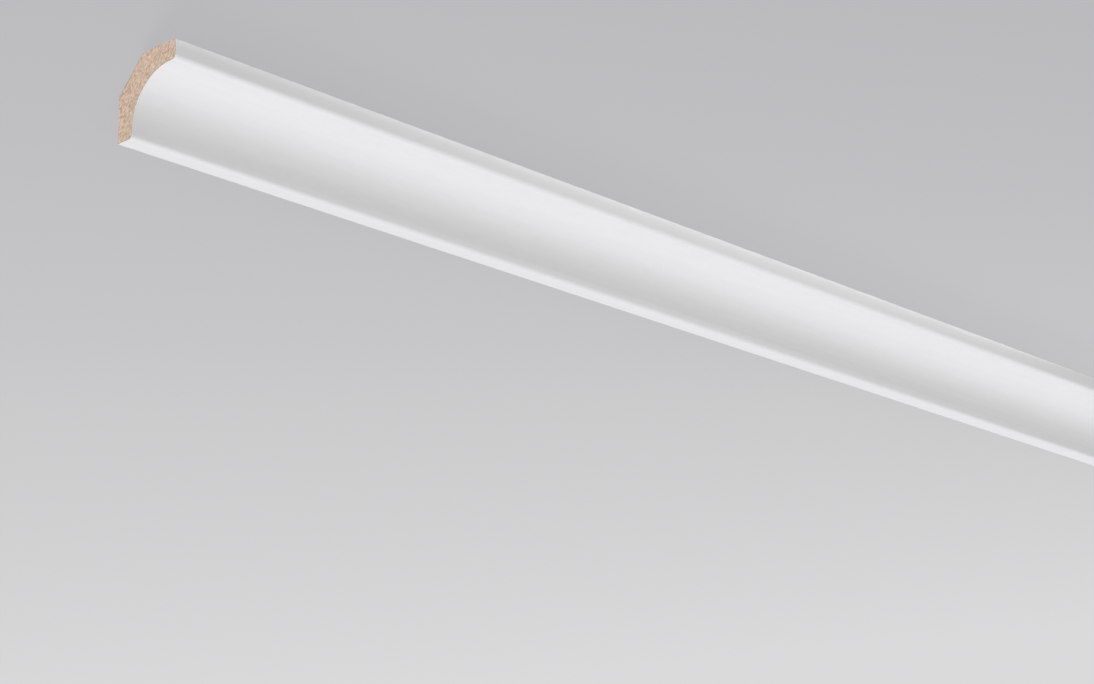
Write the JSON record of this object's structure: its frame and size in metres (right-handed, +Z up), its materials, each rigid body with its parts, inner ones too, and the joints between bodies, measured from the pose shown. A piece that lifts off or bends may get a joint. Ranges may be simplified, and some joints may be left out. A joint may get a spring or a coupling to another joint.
{
  "type": "cove moulding",
  "caption": "White film-wrapped MDF cove moulding with a round hollow, square lips and a bevelled back, for the corner between wall and ceiling.",
  "frame": {"origin": "middle of the bevelled back that the length lies on, halfway along", "axes": "+X along the length, +Z up out of the hollow, the ceiling leg rising towards +Y and the wall leg towards -Y"},
  "size_m": [2.4, 0.0562, 0.0225],
  "materials": {
    "white_film": "satin"
  },
  "bodies": {
    "root": {"cove_moulding": "white_film"}
  },
  "joints": []
}
